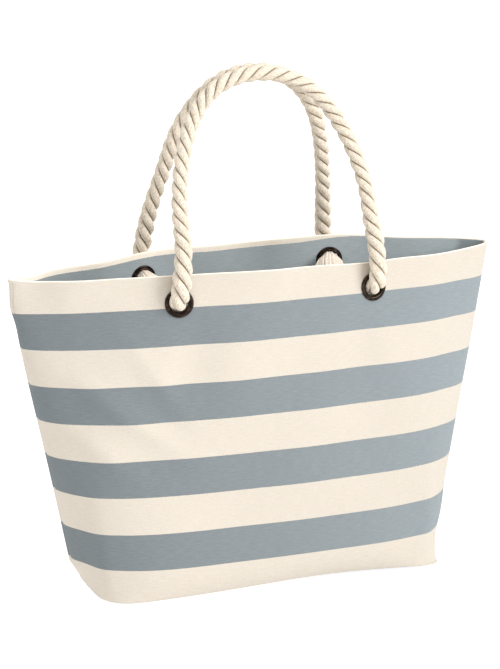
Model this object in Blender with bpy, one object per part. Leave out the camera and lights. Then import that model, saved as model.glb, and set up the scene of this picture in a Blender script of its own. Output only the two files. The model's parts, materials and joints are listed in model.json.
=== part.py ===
"""Beach bag: a striped canvas tote with two twisted-rope handles.

The bag is two canvas panels sewn up the sides, across the base and across the
boxed corners. Each rope handle comes out through two metal eyelets in the
turned-in hem, and a knot inside keeps each rope end from pulling through.

Metres, +Z up. The origin is the middle of the base, on the ground. The front
faces -Y and +X is to the right.
"""

import math

import bmesh
import bpy
from mathutils import Matrix, Vector

# ---------------------------------------------------------------- dimensions
RIM_HALF_WIDTH = 0.2730      # side seam to middle, at the rim
RIM_HALF_DEPTH = 0.0745      # middle of the mouth to the panel, at the rim
BASE_HALF_WIDTH = 0.2072
BASE_HALF_DEPTH = 0.0843
SEAM_HEIGHT = 0.345          # height of the rim at the side seams
RIM_RISE = 0.0173            # how much higher the rim is in the middle, as a share
RIM_N, RIM_M = 1.21, 1.80    # outline exponents at the rim: a lens
BASE_N, BASE_M = 6.27, 2.00  # and at the base: a rounded oblong
DEPTH_POWER = 1.3            # how the depth changes from base to rim

CANVAS = 0.0016              # one layer
HEM_EXTRA = 0.0014           # the turned-in layer
HEM_DEPTH = 0.0466
FOOT_HEIGHT = 0.030          # where the wall starts to turn in under the bag
GROUND_HALF_WIDTH = 0.1940   # the part that lies on the ground
GROUND_HALF_DEPTH = 0.0745
GROUND_N, GROUND_M = 10.0, 6.0
GROUND_WAIST = 0.0105        # how far its long edges draw in at the middle
SEAM_GAP = 0.0003            # between the two panels along every seam
TOP_BAND = 0.0334            # what shows of the first cream stripe
STRIPE = 0.040

EYELET_X, EYELET_Z = 0.109, 0.3214
BACK_RIGHT_RAISE = 0.0045     # one eyelet sits this much higher than the others
EYELET_HOLE_R = 0.0102
EYELET_FLANGE_R = 0.0152
EYELET_FLANGE_H = 0.0024
BARREL_R = 0.0110
CANVAS_HOLE_R = 0.0115

ROPE_R = 0.0090
HINGE_X, HINGE_Y, HINGE_Z = 0.1105, 0.0745, 0.3225
HANDLE_TOP_Z = 0.548
HANDLE_TOP_Y = 0.0094        # the two handles lean together at the top
FRONT_LEG = ((0.1130, 0.4250), 0.0975, 0.84)   # (x, z) pull of the leg, x pull of the arch, where the lean ends
BACK_LEG = ((0.0970, 0.3950), 0.1005, 0.90)

BINDING = 0.0022             # thickness of the bound seam allowances
BINDING_WIDTH = 0.010

COLUMNS = 36
CREAM = (0.86, 0.78, 0.67, 1)
BLUE_GREY = (0.27, 0.33, 0.36, 1)
ROPE_COLOUR = (0.80, 0.71, 0.58, 1)
DARK_METAL = (0.030, 0.024, 0.022, 1)
TAPE_COLOUR = (0.82, 0.75, 0.65, 1)


# ---------------------------------------------------------------- helpers
def material(name, colour, roughness, metallic=0.0):
    mat = bpy.data.materials.new(name)
    mat.use_nodes = True
    shader = mat.node_tree.nodes["Principled BSDF"]
    shader.inputs["Base Color"].default_value = colour
    shader.inputs["Roughness"].default_value = roughness
    shader.inputs["Metallic"].default_value = metallic
    mat.diffuse_color = colour
    return mat


def new_object(name, mesh, *materials):
    obj = bpy.data.objects.new(name, mesh)
    bpy.context.scene.collection.objects.link(obj)
    for mat in materials:
        if mat.name not in mesh.materials:
            mesh.materials.append(mat)
    return obj


def mesh_from(name, points, faces, indices=None, smooth=True):
    mesh = bpy.data.meshes.new(name)
    mesh.from_pydata([tuple(p) for p in points], [], faces)
    if indices:
        mesh.polygons.foreach_set("material_index", indices)
    bm = bmesh.new()
    bm.from_mesh(mesh)
    bmesh.ops.recalc_face_normals(bm, faces=bm.faces)
    bm.to_mesh(mesh)
    bm.free()
    if smooth:
        mesh.shade_smooth()
        mesh.set_sharp_from_angle(angle=math.radians(40))
    return mesh


def guide(obj):
    obj.hide_render = True
    obj.display_type = "WIRE"
    return obj


# ---------------------------------------------------------------- bag surface
def section(w):
    """Outline of the bag at height share w: half width, half depth and exponents."""
    return (
        BASE_HALF_WIDTH + (RIM_HALF_WIDTH - BASE_HALF_WIDTH) * w,
        BASE_HALF_DEPTH + (RIM_HALF_DEPTH - BASE_HALF_DEPTH) * w**DEPTH_POWER,
        BASE_N + (RIM_N - BASE_N) * math.sqrt(w),
        BASE_M + (RIM_M - BASE_M) * math.sqrt(w),
    )


def wall_point(t, w):
    """Outer face of the front wall, t from -1 at the left seam to 1 at the right."""
    half_w, half_d, n, m = section(w)
    y = half_d * max(1 - abs(t) ** n, 0.0) ** (1 / m)
    return Vector((half_w * t, -y, SEAM_HEIGHT * w * (1 + RIM_RISE * (1 - t * t))))


def along(points, count):
    """Points spread along a line, closer together towards its ends."""
    lengths = [0.0]
    for a, b in zip(points, points[1:]):
        lengths.append(lengths[-1] + (b - a).length)
    out, k = [], 0
    for i in range(count + 1):
        u = i / count
        s = lengths[-1] * (0.5 * u + 0.25 * (1 - math.cos(math.pi * u)))
        while k < len(points) - 2 and lengths[k + 1] < s:
            k += 1
        f = (s - lengths[k]) / (lengths[k + 1] - lengths[k])
        out.append(points[k].lerp(points[k + 1], min(max(f, 0.0), 1.0)))
    return out


def ground_point(t):
    """Front half of the outline that lies on the ground."""
    y = GROUND_HALF_DEPTH * max(1 - abs(t) ** GROUND_N, 0.0) ** (1 / GROUND_M)
    y -= GROUND_WAIST * max(1 - (t / 0.86) ** 2, 0.0)
    return Vector((GROUND_HALF_WIDTH * t, -y, 0))


def wall_row(w):
    dense = [
        wall_point(math.sin(math.pi * (k / 400 - 0.5)), w) for k in range(401)
    ]
    return along(dense, COLUMNS)


def ground_row():
    dense = [ground_point(math.sin(math.pi * (k / 400 - 0.5))) for k in range(401)]
    return along(dense, COLUMNS)


def panel_rows():
    """Rows of the outer face from rim to base, with the wall's thickness at each
    and the stripe that starts there (0 cream, 1 blue-grey)."""
    height = SEAM_HEIGHT * (1 + RIM_RISE)
    cuts = [0.0, 0.016, TOP_BAND, HEM_DEPTH, HEM_DEPTH + 0.0005]
    cuts += [TOP_BAND + STRIPE * k for k in range(1, 8)]
    rows = []
    for cut in cuts:
        thick = CANVAS + (HEM_EXTRA if cut <= HEM_DEPTH else 0.0)
        stripe = math.floor((cut - TOP_BAND + 1e-6) / STRIPE) + 1
        rows.append((wall_row(1 - cut / height), thick, stripe % 2))
    foot = wall_row(FOOT_HEIGHT / SEAM_HEIGHT)
    ground = ground_row()
    for k in range(6):
        angle = math.radians(18 * k)
        row = []
        for p, g in zip(foot, ground):
            q = g.lerp(p, math.cos(angle))
            q.z = p.z * (1 - math.sin(angle))
            row.append(q)
        rows.append((row, CANVAS, 0))
    return rows


def panel_mesh(name, side):
    """One canvas panel: wall, half of both sides and half of the base.
    side is 1 for the front and -1 for the back."""
    rows = panel_rows()
    edge = -SEAM_GAP / 2
    outer = []
    for row, _, _ in rows:
        outer.append([Vector((p.x, min(p.y, edge), p.z)) for p in row])
    inner = []
    last = len(outer) - 1
    for j, row in enumerate(outer):
        thick = rows[j][1]
        line = []
        for i, p in enumerate(row):
            across = row[min(i + 1, COLUMNS)] - row[max(i - 1, 0)]
            if i in (0, COLUMNS):
                across = Vector((0, -1 if i == 0 else 1, 0))
            down = outer[min(j + 1, last)][i] - outer[max(j - 1, 0)][i]
            n = down.cross(across).normalized()
            if j == last:
                n = Vector((0, 0, -1))
            q = p - n * thick
            if j == 0:
                q.z = p.z
            line.append(Vector((q.x, min(q.y, edge), q.z)))
        inner.append(line)
    wide = COLUMNS + 1
    points = [p for row in outer for p in row] + [p for row in inner for p in row]
    half = len(outer) * wide
    faces, stripes = [], []
    for j in range(last):
        for i in range(COLUMNS):
            a = j * wide + i
            faces.append((a, a + 1, a + wide + 1, a + wide))
            faces.append((half + a, half + a + wide, half + a + wide + 1, half + a + 1))
            stripes += [rows[j][2], rows[j][2] if rows[j][1] == CANVAS else 1]
        for i in (0, COLUMNS):
            a = j * wide + i
            faces.append((a, a + wide, half + a + wide, half + a))
            stripes.append(rows[j][2])
    for i in range(COLUMNS):
        faces.append((i, half + i, half + i + 1, i + 1))
        stripes.append(0)
    foot = last * wide
    faces.append(tuple(foot + i for i in range(wide)))
    faces.append(tuple(half + foot + i for i in reversed(range(wide))))
    faces.append((foot, half + foot, half + foot + COLUMNS, foot + COLUMNS))
    stripes += [1, 1, 1]
    points = [Vector((p.x, p.y * side, p.z)) for p in points]
    return mesh_from(name, points, faces, stripes)


# ---------------------------------------------------------------- eyelets
def eyelet_frame(x_sign, side):
    """Where an eyelet sits: its middle on the outer face, local +Z outwards and
    local +Y up the wall."""
    z = EYELET_Z + (BACK_RIGHT_RAISE if (x_sign, side) == (1, -1) else 0.0)
    w = z / SEAM_HEIGHT
    for _ in range(30):
        t = EYELET_X / section(w)[0]
        w = z / (SEAM_HEIGHT * (1 + RIM_RISE * (1 - t * t)))
    t *= x_sign
    h = 1e-4
    across = wall_point(t + h, w) - wall_point(t - h, w)
    up = wall_point(t, w + h) - wall_point(t, w - h)
    out = across.cross(up).normalized()
    place = wall_point(t, w)
    out.y *= side
    place.y *= side
    right = Vector((0, 0, 1)).cross(out).normalized()
    up = out.cross(right)
    frame = Matrix((right, up, out)).transposed().to_4x4()
    frame.translation = place
    return frame


def turned_mesh(name, profile, steps=24):
    """A closed (radius, height) profile turned about local Z."""
    points, faces = [], []
    count = len(profile)
    for k in range(steps):
        a = 2 * math.pi * k / steps
        points += [(r * math.cos(a), r * math.sin(a), h) for r, h in profile]
    for k in range(steps):
        for i in range(count):
            a, b = k * count + i, k * count + (i + 1) % count
            c, d = (a + count) % len(points), (b + count) % len(points)
            faces.append((a, b, d, c))
    return mesh_from(name, points, faces)


def eyelet_meshes():
    hem = CANVAS + HEM_EXTRA
    low = -(hem + 0.0034)
    barrel = [
        (EYELET_HOLE_R, 0.0016),
        (EYELET_HOLE_R + 0.0012, EYELET_FLANGE_H),
        (EYELET_FLANGE_R - 0.0018, EYELET_FLANGE_H),
        (EYELET_FLANGE_R, 0.0012),
        (EYELET_FLANGE_R, 0.0006),
        (BARREL_R, 0.0006),
        (BARREL_R, low + 0.0012),
        (BARREL_R + 0.0018, low + 0.0010),
        (BARREL_R + 0.0016, low + 0.0002),
        (EYELET_HOLE_R + 0.0008, low),
        (EYELET_HOLE_R, low + 0.0008),
    ]
    washer = [
        (BARREL_R + 0.0004, -(hem + 0.0006)),
        (EYELET_FLANGE_R - 0.0004, -(hem + 0.0006)),
        (EYELET_FLANGE_R - 0.0004, -(hem + 0.0012)),
        (EYELET_FLANGE_R - 0.0014, -(hem + 0.0018)),
        (BARREL_R + 0.0004, -(hem + 0.0018)),
    ]
    return turned_mesh("eyelet", barrel), turned_mesh("washer", washer)


# ---------------------------------------------------------------- rope
def tube_mesh(name, path, radii, sides=10, round_ends=True):
    """A closed tube along a path, with rounded or flat ends."""
    rings = list(zip(path, radii))
    tangents = []
    for i in range(len(path)):
        tangents.append((path[min(i + 1, len(path) - 1)] - path[max(i - 1, 0)]).normalized())
    if round_ends:
        first, last, r = path[0], path[-1], radii[0]
        head = [
            (first - tangents[0] * r * math.sin(math.radians(a)), r * math.cos(math.radians(a)))
            for a in (66, 44, 22)
        ]
        r = radii[-1]
        tail = [
            (last + tangents[-1] * r * math.sin(math.radians(a)), r * math.cos(math.radians(a)))
            for a in (22, 44, 66)
        ]
        tips = (first - tangents[0] * radii[0], last + tangents[-1] * radii[-1])
        rings = head + rings + tail
        tangents = [tangents[0]] * 3 + tangents + [tangents[-1]] * 3
    else:
        tips = (path[0], path[-1])
    normal = tangents[0].orthogonal().normalized()
    points, faces = [], []
    for (centre, r), tangent in zip(rings, tangents):
        normal = (normal - tangent * normal.dot(tangent)).normalized()
        side = tangent.cross(normal)
        for k in range(sides):
            a = 2 * math.pi * k / sides
            points.append(centre + (normal * math.cos(a) + side * math.sin(a)) * r)
    for j in range(len(rings) - 1):
        for k in range(sides):
            a, b = j * sides + k, j * sides + (k + 1) % sides
            faces.append((a, b, b + sides, a + sides))
    points += list(tips)
    start, end = len(points) - 2, len(points) - 1
    top = (len(rings) - 1) * sides
    for k in range(sides):
        faces.append((start, (k + 1) % sides, k))
        faces.append((end, top + k, top + (k + 1) % sides))
    return mesh_from(name, points, faces)


def handle_path(leg, side, count=22):
    """Middle line of a handle from its left foot over the arch to its right foot,
    measured from the hinge axis. side is -1 for the front and 1 for the back."""
    (pull_x, pull_z), arch_x, lean_end = leg
    half = []
    for k in range(count + 1):
        t = k / count
        a, b, c, d = (1 - t) ** 3, 3 * t * (1 - t) ** 2, 3 * t * t * (1 - t), t**3
        x = a * HINGE_X + b * pull_x + c * arch_x
        z = a * HINGE_Z + b * pull_z + (c + d) * HANDLE_TOP_Z
        lean = (1 + math.cos(math.pi * min(t / lean_end, 1))) / 2
        y = HANDLE_TOP_Y + (HINGE_Y - HANDLE_TOP_Y) * lean
        half.append(Vector((x, side * (y - HINGE_Y), z - HINGE_Z)))
    left = [Vector((-p.x, p.y, p.z)) for p in half]
    return left + list(reversed(half[:-1]))


def knot_mesh():
    """A rope end: the stretch through the eyelet, the knot behind it and the tail.
    In the eyelet's own frame, +Z outwards and +Y up."""
    stub = new_object(
        "knot_stub",
        tube_mesh(
            "knot_stub",
            [Vector((0, 0, EYELET_FLANGE_H - 0.0004)), Vector((0, 0, -0.006)), Vector((0, -0.002, -0.022))],
            [ROPE_R] * 3,
            sides=12,
            round_ends=False,
        ),
    )
    ball_mesh = bpy.data.meshes.new("knot_ball")
    bm = bmesh.new()
    bmesh.ops.create_uvsphere(bm, u_segments=12, v_segments=8, radius=1.0)
    bm.transform(
        Matrix.Translation((0, -0.011, -0.0245)) @ Matrix.Diagonal((0.0165, 0.0150, 0.0140, 1))
    )
    bm.to_mesh(ball_mesh)
    bm.free()
    ball = new_object("knot_ball", ball_mesh)
    tail = new_object(
        "knot_tail",
        tube_mesh(
            "knot_tail",
            [Vector((0, -0.012, -0.0245)), Vector((0, -0.034, -0.0235)), Vector((0, -0.055, -0.0215)), Vector((0, -0.072, -0.0200))],
            [0.0085, 0.0090, 0.0100, 0.0125],
            sides=12,
            round_ends=False,
        ),
    )
    for other in (ball, tail):
        join = stub.modifiers.new("join", "BOOLEAN")
        join.operation = "UNION"
        join.object = other
    bpy.context.view_layer.update()
    graph = bpy.context.evaluated_depsgraph_get()
    mesh = bpy.data.meshes.new_from_object(stub.evaluated_get(graph))
    mesh.name = "knot"
    for obj in (stub, ball, tail):
        bpy.data.objects.remove(obj)
    return mesh


# ---------------------------------------------------------------- seam bindings
def strip_mesh(name, stations):
    """A flat strip with softened edges: each station is (middle, half width, half
    thickness) with vectors for the last two."""
    ring = ((-1, -0.6), (-0.92, -1), (0.92, -1), (1, -0.6), (1, 0.6), (0.92, 1), (-0.92, 1), (-1, 0.6))
    points, faces = [], []
    for middle, wide, thick in stations:
        points += [middle + wide * a + thick * b for a, b in ring]
    count = len(ring)
    for j in range(len(stations) - 1):
        for k in range(count):
            a, b = j * count + k, j * count + (k + 1) % count
            faces.append((a, b, b + count, a + count))
    faces.append(tuple(reversed(range(count))))
    faces.append(tuple((len(stations) - 1) * count + k for k in range(count)))
    return mesh_from(name, points, faces)


def side_binding(name, x_sign):
    """The bound allowance of a side seam, from under the hem to the boxed corner."""
    stations = []
    for k in range(7):
        z = 0.030 + (0.292 - 0.030) * k / 6
        x = section(z / SEAM_HEIGHT)[0] - CANVAS - 0.0009 - BINDING_WIDTH / 2
        stations.append(
            (Vector((x_sign * x, 0, z)), Vector((BINDING_WIDTH / 2, 0, 0)), Vector((0, BINDING / 2, 0)))
        )
    return strip_mesh(name, stations)


def base_binding(name):
    z = CANVAS + 0.0004 + BINDING / 2
    stations = [
        (Vector((x, 0, z)), Vector((0, BINDING_WIDTH / 2, 0)), Vector((0, 0, BINDING / 2)))
        for x in (-0.164, 0.0, 0.164)
    ]
    return strip_mesh(name, stations)


def corner_binding(name, x_sign):
    z = CANVAS + 0.0004 + BINDING / 2
    stations = [
        (Vector((x_sign * 0.1740, y, z)), Vector((BINDING_WIDTH / 2, 0, 0)), Vector((0, 0, BINDING / 2)))
        for y in (-0.038, 0.0, 0.038)
    ]
    return strip_mesh(name, stations)


# ---------------------------------------------------------------- assembly
def main():
    for obj in list(bpy.data.objects):
        bpy.data.objects.remove(obj)

    cream = material("cream_canvas", CREAM, 0.9)
    blue = material("blue_grey_canvas", BLUE_GREY, 0.9)
    rope = material("cotton_rope", ROPE_COLOUR, 0.85)
    metal = material("dark_metal", DARK_METAL, 0.3, 1.0)
    tape = material("cotton_tape", TAPE_COLOUR, 0.9)

    bag = bpy.data.objects.new("bag", None)
    bpy.context.scene.collection.objects.link(bag)

    frames = {}
    for depth_name, side in (("front", 1), ("back", -1)):
        for side_name, x_sign in (("left", -1), ("right", 1)):
            frames[depth_name, side_name] = eyelet_frame(x_sign, side)

    for depth_name, side in (("front", 1), ("back", -1)):
        panel = new_object(
            f"{depth_name}_panel", panel_mesh(f"{depth_name}_panel", side), cream, blue
        )
        panel.parent = bag
        for side_name in ("left", "right"):
            drill_mesh = bpy.data.meshes.new("eyelet_drill")
            bm = bmesh.new()
            bmesh.ops.create_cone(
                bm, cap_ends=True, segments=24, radius1=CANVAS_HOLE_R, radius2=CANVAS_HOLE_R, depth=0.03
            )
            bm.to_mesh(drill_mesh)
            bm.free()
            drill = guide(new_object(f"{depth_name}_{side_name}_eyelet_drill", drill_mesh))
            drill.matrix_world = frames[depth_name, side_name]
            cut = panel.modifiers.new(f"{side_name}_eyelet_hole", "BOOLEAN")
            cut.operation = "DIFFERENCE"
            cut.object = drill

    barrel, washer = eyelet_meshes()
    knot = knot_mesh()
    knot.shade_smooth()
    for (depth_name, side_name), frame in frames.items():
        for what, mesh, mat in (
            ("eyelet", barrel, metal),
            ("eyelet_washer", washer, metal),
            ("rope_knot", knot, rope),
        ):
            obj = new_object(f"{depth_name}_{side_name}_{what}", mesh, mat)
            obj.parent = bag
            obj.matrix_world = frame

    for side_name, x_sign in (("left", -1), ("right", 1)):
        obj = new_object(f"{side_name}_seam_binding", side_binding(f"{side_name}_seam", x_sign), tape)
        obj.parent = bag
        obj = new_object(f"{side_name}_corner_binding", corner_binding(f"{side_name}_corner", x_sign), tape)
        obj.parent = bag
    obj = new_object("base_seam_binding", base_binding("base_seam"), tape)
    obj.parent = bag

    for depth_name, side, leg in (("front", -1, FRONT_LEG), ("back", 1, BACK_LEG)):
        path = handle_path(leg, side)
        obj = new_object(
            f"{depth_name}_handle_rope",
            tube_mesh(f"{depth_name}_handle_rope", path, [ROPE_R] * len(path), sides=10),
            rope,
        )
        obj.location = (0, side * HINGE_Y, HINGE_Z)

    bpy.context.view_layer.update()


main()
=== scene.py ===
"""Looks of a striped canvas beach bag with two twisted-rope handles.

Metres, +Z up, front faces -Y. The canvas, ropes, eyelets, knots and seam tapes are
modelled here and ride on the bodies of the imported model.
"""

import json
import math

import bmesh
import bpy
import numpy as np
from mathutils import Matrix, Vector

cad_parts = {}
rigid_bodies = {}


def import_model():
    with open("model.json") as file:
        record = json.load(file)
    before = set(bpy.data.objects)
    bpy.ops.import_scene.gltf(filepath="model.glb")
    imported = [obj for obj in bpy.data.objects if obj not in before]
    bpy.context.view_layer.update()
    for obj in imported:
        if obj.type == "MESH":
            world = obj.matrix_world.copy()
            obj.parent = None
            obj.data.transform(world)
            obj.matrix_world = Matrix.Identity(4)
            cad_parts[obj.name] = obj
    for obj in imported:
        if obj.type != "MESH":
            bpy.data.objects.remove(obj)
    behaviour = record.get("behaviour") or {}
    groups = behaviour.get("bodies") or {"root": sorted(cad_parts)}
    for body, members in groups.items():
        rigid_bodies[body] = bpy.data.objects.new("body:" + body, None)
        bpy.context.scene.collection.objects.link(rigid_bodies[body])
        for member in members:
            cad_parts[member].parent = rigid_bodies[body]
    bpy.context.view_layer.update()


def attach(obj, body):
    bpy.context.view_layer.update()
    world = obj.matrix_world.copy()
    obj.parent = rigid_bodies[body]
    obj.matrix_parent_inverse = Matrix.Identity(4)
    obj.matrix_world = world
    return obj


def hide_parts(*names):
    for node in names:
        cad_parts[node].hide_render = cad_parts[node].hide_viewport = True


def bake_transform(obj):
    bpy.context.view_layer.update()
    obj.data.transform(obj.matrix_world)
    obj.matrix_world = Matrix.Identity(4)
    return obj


for old in list(bpy.data.objects):
    bpy.data.objects.remove(old)
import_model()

# ------------------------------------------------------------------ dimensions
RIM_HALF_WIDTH, RIM_HALF_DEPTH = 0.2730, 0.0745
BASE_HALF_WIDTH, BASE_HALF_DEPTH = 0.2072, 0.0843
SEAM_HEIGHT, RIM_RISE = 0.345, 0.0173
RIM_N, RIM_M = 1.21, 1.80
BASE_N, BASE_M = 6.27, 2.00
DEPTH_POWER = 1.3
FOOT_HEIGHT = 0.030
GROUND_HALF_WIDTH, GROUND_HALF_DEPTH = 0.1940, 0.0745
GROUND_N, GROUND_M = 10.0, 6.0
GROUND_WAIST = 0.0105
TOP_BAND, STRIPE = 0.0334, 0.040
HEM_DEPTH = 0.0466
CANVAS, HEM = 0.0013, 0.0027
HEIGHT = SEAM_HEIGHT * (1 + RIM_RISE)

EYELET_X, EYELET_Z = 0.109, 0.3214
BACK_RIGHT_RAISE = 0.0045
HOLE_R, FLANGE_R, FLANGE_H, BARREL_R = 0.0102, 0.0152, 0.0024, 0.0110
CANVAS_HOLE_R = 0.0115

ROPE_R = 0.0090
LAY = 0.0462
HINGE_X, HINGE_Y, HINGE_Z = 0.1105, 0.0745, 0.3225
HANDLE_TOP_Z, HANDLE_TOP_Y = 0.548, 0.0094
FRONT_LEG = ((0.1130, 0.4250), 0.0975, 0.84)
BACK_LEG = ((0.0970, 0.3950), 0.1005, 0.90)

BINDING, BINDING_WIDTH = 0.0022, 0.010

COLUMNS = 184
INSIDE = 20 * STRIPE     # added to the cloth height on the inner face; a whole number of stripe pairs


# ------------------------------------------------------------------ materials
def add(tree, kind, inputs=None, **props):
    node = tree.nodes.new(kind)
    for key, value in props.items():
        setattr(node, key, value)
    for key, value in (inputs or {}).items():
        if isinstance(value, bpy.types.NodeSocket):
            tree.links.new(value, node.inputs[key])
        else:
            node.inputs[key].default_value = value
    return node


def calc(tree, operation, a, b=0.0, c=0.0):
    return add(tree, "ShaderNodeMath", {0: a, 1: b, 2: c}, operation=operation).outputs[0]


def combine(tree, x, y, z=0.0):
    return add(tree, "ShaderNodeCombineXYZ", {0: x, 1: y, 2: z}).outputs[0]


def noise(tree, vector, scale=1.0, detail=2.0, rough=0.5):
    return add(
        tree, "ShaderNodeTexNoise", {"Vector": vector, "Scale": scale, "Detail": detail, "Roughness": rough}
    ).outputs[0]


def ramp(tree, value, low, high, to_low=0.0, to_high=1.0):
    return add(
        tree,
        "ShaderNodeMapRange",
        {0: value, 1: low, 2: high, 3: to_low, 4: to_high},
        interpolation_type="SMOOTHSTEP",
    ).outputs[0]


def mix(tree, factor, a, b, blend="MIX"):
    node = tree.nodes.new("ShaderNodeMix")
    node.data_type = "RGBA"
    node.blend_type = blend
    for socket, value in ((node.inputs[0], factor), (node.inputs[6], a), (node.inputs[7], b)):
        if isinstance(value, bpy.types.NodeSocket):
            tree.links.new(value, socket)
        elif isinstance(value, tuple) and len(value) == 3:
            socket.default_value = (*value, 1.0)
        else:
            socket.default_value = value
    return node.outputs[2]


def scaled(tree, colour, factor):
    return add(tree, "ShaderNodeVectorMath", {0: colour, 3: factor}, operation="SCALE").outputs[0]


def new_material(name, flat, roughness, metallic=0.0, specular=0.5, sheen=0.0):
    mat = bpy.data.materials.new(name)
    mat.use_nodes = True
    mat.diffuse_color = (*flat, 1)
    shader = mat.node_tree.nodes["Principled BSDF"]
    shader.inputs["Roughness"].default_value = roughness
    shader.inputs["Metallic"].default_value = metallic
    shader.inputs["Specular IOR Level"].default_value = specular
    shader.inputs["Sheen Weight"].default_value = sheen
    shader.inputs["Sheen Roughness"].default_value = 0.5
    return mat, mat.node_tree, shader


def finish_material(tree, shader, colour, height, strength, distance):
    tree.links.new(colour, shader.inputs["Base Color"])
    bump = add(tree, "ShaderNodeBump", {"Height": height, "Strength": strength, "Distance": distance})
    tree.links.new(bump.outputs[0], shader.inputs["Normal"])


CREAM = (0.566, 0.510, 0.435)
BLUE_GREY = (0.189, 0.215, 0.227)


def canvas_material():
    """Plain-woven cotton canvas: two thread directions with slubs, stripes in the weft. Light and shade are painted in:
    a gradient across the bag and paler inside faces.
    """
    mat, tree, shader = new_material("striped_canvas", (0.6, 0.6, 0.57), 0.92, 0.0, 0.2, 0.10)
    uv = add(tree, "ShaderNodeUVMap", uv_map="cloth").outputs[0]
    parts = add(tree, "ShaderNodeSeparateXYZ", {0: uv})
    u, v = parts.outputs[0], parts.outputs[1]
    weft = noise(tree, combine(tree, calc(tree, "MULTIPLY", u, 90.0), calc(tree, "MULTIPLY", v, 1250.0)), 1.0, 3.0)
    warp = noise(tree, combine(tree, calc(tree, "MULTIPLY", u, 1400.0), calc(tree, "MULTIPLY", v, 80.0)), 1.0, 3.0)
    over = calc(tree, "SINE", calc(tree, "MULTIPLY", u, 2 * math.pi / 0.00130))
    under = calc(tree, "SINE", calc(tree, "MULTIPLY", v, 2 * math.pi / 0.00150))
    weave = calc(tree, "MULTIPLY", over, under)
    edge = calc(tree, "MULTIPLY_ADD", calc(tree, "SUBTRACT", warp, 0.5), 0.0012, v)
    turn = calc(tree, "FRACT", calc(tree, "DIVIDE", calc(tree, "SUBTRACT", edge, TOP_BAND), 2 * STRIPE))
    away = calc(tree, "ABSOLUTE", calc(tree, "SUBTRACT", turn, 0.25))
    blue = ramp(tree, away, 0.2455, 0.2505, 1.0, 0.0)
    heather = ramp(tree, calc(tree, "MULTIPLY_ADD", weave, 0.12, weft), 0.30, 0.78)
    # painted light: the inner face and the rolled rim are painted paler, as if more light reached inside the bag
    inner = calc(tree, "MAXIMUM", calc(tree, "GREATER_THAN", v, INSIDE / 2), calc(tree, "LESS_THAN", v, -0.0002))
    blue_tone = mix(tree, heather, BLUE_GREY, (0.224, 0.250, 0.260))
    cream_tone = mix(tree, heather, CREAM, (0.594, 0.540, 0.468))
    # painted light and shade across the bag: blue is painted darker at the left end and lighter at the right
    painted_side_light = calc(tree, "MULTIPLY_ADD", u, 0.48, 1.0)
    # the painted inside light drops to a fifth near the right tip of the mouth, which leaves that tip darker as painted
    # shade
    painted_inside_light = calc(tree, "MULTIPLY", inner, ramp(tree, u, 0.246, 0.257, 1.0, 0.20))
    blue_tone = scaled(tree, blue_tone, calc(tree, "MULTIPLY", calc(tree, "MULTIPLY_ADD", painted_inside_light, 0.78, 1.0), painted_side_light))
    # painted light and shade across the bag: cream is painted lighter at the left end and darker at the right
    painted_side_light = calc(tree, "MULTIPLY_ADD", u, -0.38, 1.0)
    cream_tone = scaled(tree, cream_tone, calc(tree, "MULTIPLY", calc(tree, "MULTIPLY_ADD", inner, 0.60, 1.0), painted_side_light))
    colour = mix(tree, blue, cream_tone, blue_tone)
    cloud = noise(tree, combine(tree, calc(tree, "MULTIPLY", u, 14.0), calc(tree, "MULTIPLY", v, 14.0)), 1.0, 3.0)
    tone = calc(tree, "MULTIPLY_ADD", calc(tree, "SUBTRACT", weft, 0.5), 0.08, 1.0)
    tone = calc(tree, "MULTIPLY_ADD", calc(tree, "SUBTRACT", warp, 0.5), 0.08, tone)
    tone = calc(tree, "MULTIPLY_ADD", calc(tree, "SUBTRACT", cloud, 0.5), 0.07, tone)
    grain = noise(tree, combine(tree, calc(tree, "MULTIPLY", u, 720.0), calc(tree, "MULTIPLY", v, 560.0)), 1.0, 2.0)
    tone = calc(tree, "MULTIPLY_ADD", calc(tree, "SUBTRACT", grain, 0.5), 0.22, tone)
    colour = scaled(tree, colour, tone)
    height = calc(tree, "MULTIPLY_ADD", weave, 0.5, calc(tree, "ADD", weft, warp))
    finish_material(tree, shader, colour, height, 0.30, 0.0003)
    return mat


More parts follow.
